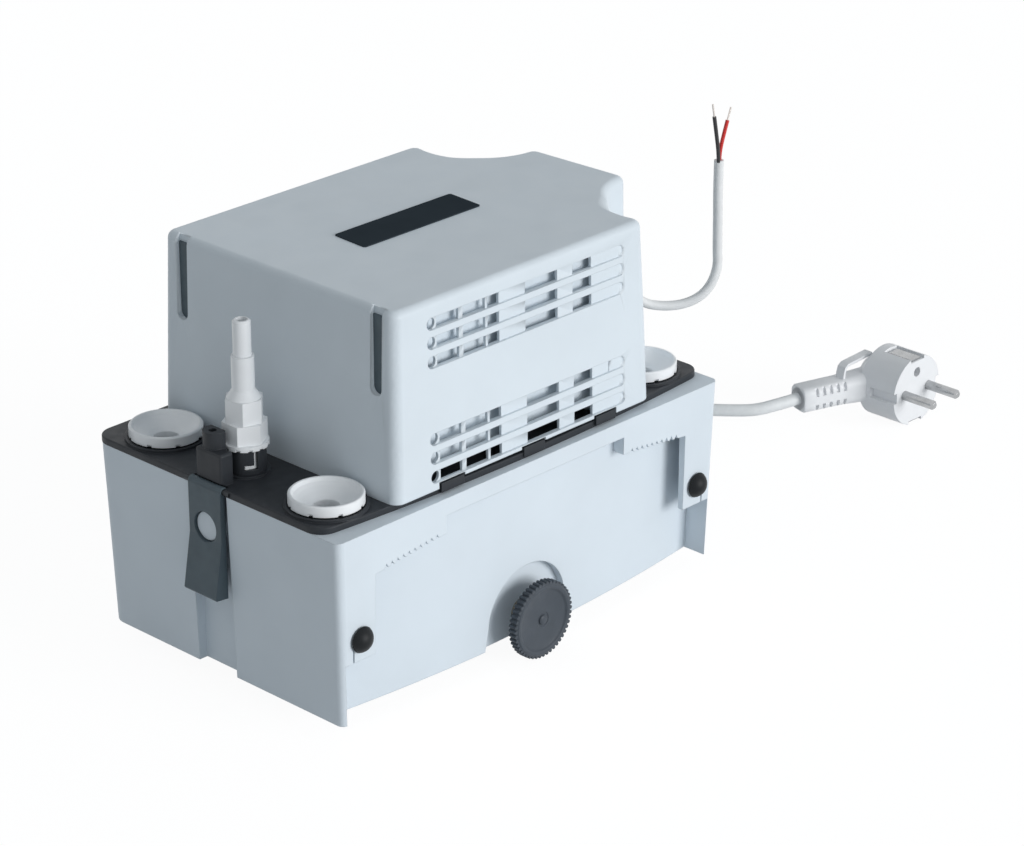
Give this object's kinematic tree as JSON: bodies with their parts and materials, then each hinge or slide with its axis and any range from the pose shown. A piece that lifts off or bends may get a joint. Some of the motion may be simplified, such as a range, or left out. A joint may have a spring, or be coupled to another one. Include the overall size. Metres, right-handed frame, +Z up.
{
  "type": "condensate pump",
  "caption": "Tank condensate pump: drained tank with saw-tooth wall hangers and levelling wheel, lid with funnels, louvred motor cover, check-valve outlet, alarm and mains cords.",
  "frame": {"origin": "under the middle of the pump without its cords, level with the lowest point of the levelling wheel", "axes": "+X along the tank to the end the cords leave, -Y the side that hangs on a wall, +Z up"},
  "size_m": [0.4562, 0.253, 0.2041],
  "materials": {
    "light_shell": "fine moulded texture",
    "tank_shell": "fine moulded texture",
    "dark_shell": "satin",
    "slate_shell": "satin",
    "dark_plate": "smooth",
    "white_shell": "smooth",
    "plug_white": "smooth",
    "pump_white": "smooth",
    "cord_light": "satin",
    "cord_grey": "satin",
    "core_black": "satin",
    "core_red": "satin",
    "bare_copper": "tinned copper strands",
    "buffer_rubber": "matt",
    "steel": "plain",
    "pin_metal": "nickel plated",
    "brass_insert": "plain",
    "core_iron": "laminated",
    "copper_wire": "enamelled wire",
    "bracket_metal": "die cast",
    "bush_black": "plain",
    "plunger_red": "smooth",
    "board_green": "lacquered",
    "terminal_white": "plain",
    "ball_black": "smooth"
  },
  "bodies": {
    "housing": {"tank": "tank_shell", "lid": "dark_shell", "lid_seal": "buffer_rubber", "outlet_collar": "dark_shell", "riser_pipe": "pump_white", "cover": "light_shell", "top_plate": "dark_plate", "cover_screws": "steel", "wheel_insert": "brass_insert", "stator_core": "core_iron", "windings": "copper_wire", "lower_bracket": "bracket_metal", "upper_bracket": "bracket_metal", "bearings": "steel", "motor_bolts": "steel", "pump_column": "pump_white", "shaft_bushing": "bush_black", "volute": "pump_white", "volute_cover": "pump_white", "switch_bracket": "steel", "pump_switch": "bush_black", "alarm_switch": "bush_black", "control_board": "board_green", "board_parts": "bush_black", "board_screws": "steel", "terminal_block": "terminal_white", "mains_gland": "cord_light", "alarm_gland": "cord_grey", "mains_cord": "cord_light", "mains_coil": "cord_light", "mains_lead": "cord_light", "alarm_cord": "cord_grey", "black_core": "core_black", "red_core": "core_red", "core_tips": "bare_copper", "plug_body": "plug_white", "plug_pins": "pin_metal", "earth_clips": "pin_metal", "clip_pins": "steel", "wall_buffers": "buffer_rubber", "inlet_seals": "buffer_rubber"},
    "clip_left": {"clip_left": "slate_shell"},
    "clip_right": {"clip_right": "slate_shell"},
    "spindle": {"wheel_spindle": "steel"},
    "wheel": {"levelling_wheel": "slate_shell"},
    "rotor": {"motor_shaft": "steel", "rotor_core": "core_iron", "fan": "pump_white", "impeller": "pump_white"},
    "float": {"float_body": "pump_white", "float_rod": "steel", "switch_cam": "bush_black"},
    "pump_plunger": {"pump_plunger": "plunger_red"},
    "alarm_plunger": {"alarm_plunger": "plunger_red"},
    "discharge": {"discharge_adapter": "white_shell"},
    "check_ball": {"check_ball": "ball_black"},
    "inlet_left_back": {"inlet_left_back": "white_shell"},
    "inlet_left_front": {"inlet_left_front": "white_shell"},
    "inlet_right_back": {"inlet_right_back": "white_shell"},
    "inlet_right_front": {"inlet_right_front": "white_shell"}
  },
  "joints": [
    {"name": "clip_left_swing", "type": "hinge", "parent": "housing", "child": "clip_left", "pos_m": [-0.1181, 0.005, 0.0957], "axis": [0, 1, 0], "range_deg": [0, 60]},
    {"name": "clip_right_swing", "type": "hinge", "parent": "housing", "child": "clip_right", "pos_m": [0.1181, 0.005, 0.0957], "axis": [0, -1, 0], "range_deg": [0, 60]},
    {"name": "spindle_slide", "type": "slide", "parent": "housing", "child": "spindle", "axis": [0, -1, 0], "range_m": [-0.004, 0.004]},
    {"name": "wheel_turn", "type": "hinge", "parent": "spindle", "child": "wheel", "pos_m": [0, -0.0764, 0.0181], "axis": [0, -1, 0], "range_deg": [-360, 360]},
    {"name": "rotor_spin", "type": "hinge", "parent": "housing", "child": "rotor", "pos_m": [-0.018, 0.00275, 0.13], "axis": [0, 0, 1], "continuous": true},
    {"name": "float_slide", "type": "slide", "parent": "housing", "child": "float", "axis": [0, 0, 1], "range_m": [0, 0.02]},
    {"name": "pump_plunger_slide", "type": "slide", "parent": "housing", "child": "pump_plunger", "axis": [1, 0, 0], "range_m": [0, 0.001]},
    {"name": "alarm_plunger_slide", "type": "slide", "parent": "housing", "child": "alarm_plunger", "axis": [1, 0, 0], "range_m": [0, 0.001]},
    {"name": "discharge_turn", "type": "hinge", "parent": "housing", "child": "discharge", "pos_m": [-0.0982, 0.00275, 0.1], "axis": [0, 0, 1], "range_deg": [0, 27.5]},
    {"name": "check_ball_lift", "type": "slide", "parent": "discharge", "child": "check_ball", "axis": [0, 0, 1], "range_m": [0, 0.004]},
    {"name": "inlet_left_back_lift", "type": "slide", "parent": "housing", "child": "inlet_left_back", "axis": [0, 0, 1], "range_m": [0, 0.014]},
    {"name": "inlet_left_front_lift", "type": "slide", "parent": "housing", "child": "inlet_left_front", "axis": [0, 0, 1], "range_m": [0, 0.014]},
    {"name": "inlet_right_back_lift", "type": "slide", "parent": "housing", "child": "inlet_right_back", "axis": [0, 0, 1], "range_m": [0, 0.014]},
    {"name": "inlet_right_front_lift", "type": "slide", "parent": "housing", "child": "inlet_right_front", "axis": [0, 0, 1], "range_m": [0, 0.014]}
  ],
  "couplings": [
    {"joint": "spindle_slide", "follows": "wheel_turn", "m_per_rad": 0.00063662},
    {"joint": "pump_plunger_slide", "follows": "float_slide", "ratio": 0.05},
    {"joint": "alarm_plunger_slide", "follows": "float_slide", "ratio": 0.05}
  ]
}
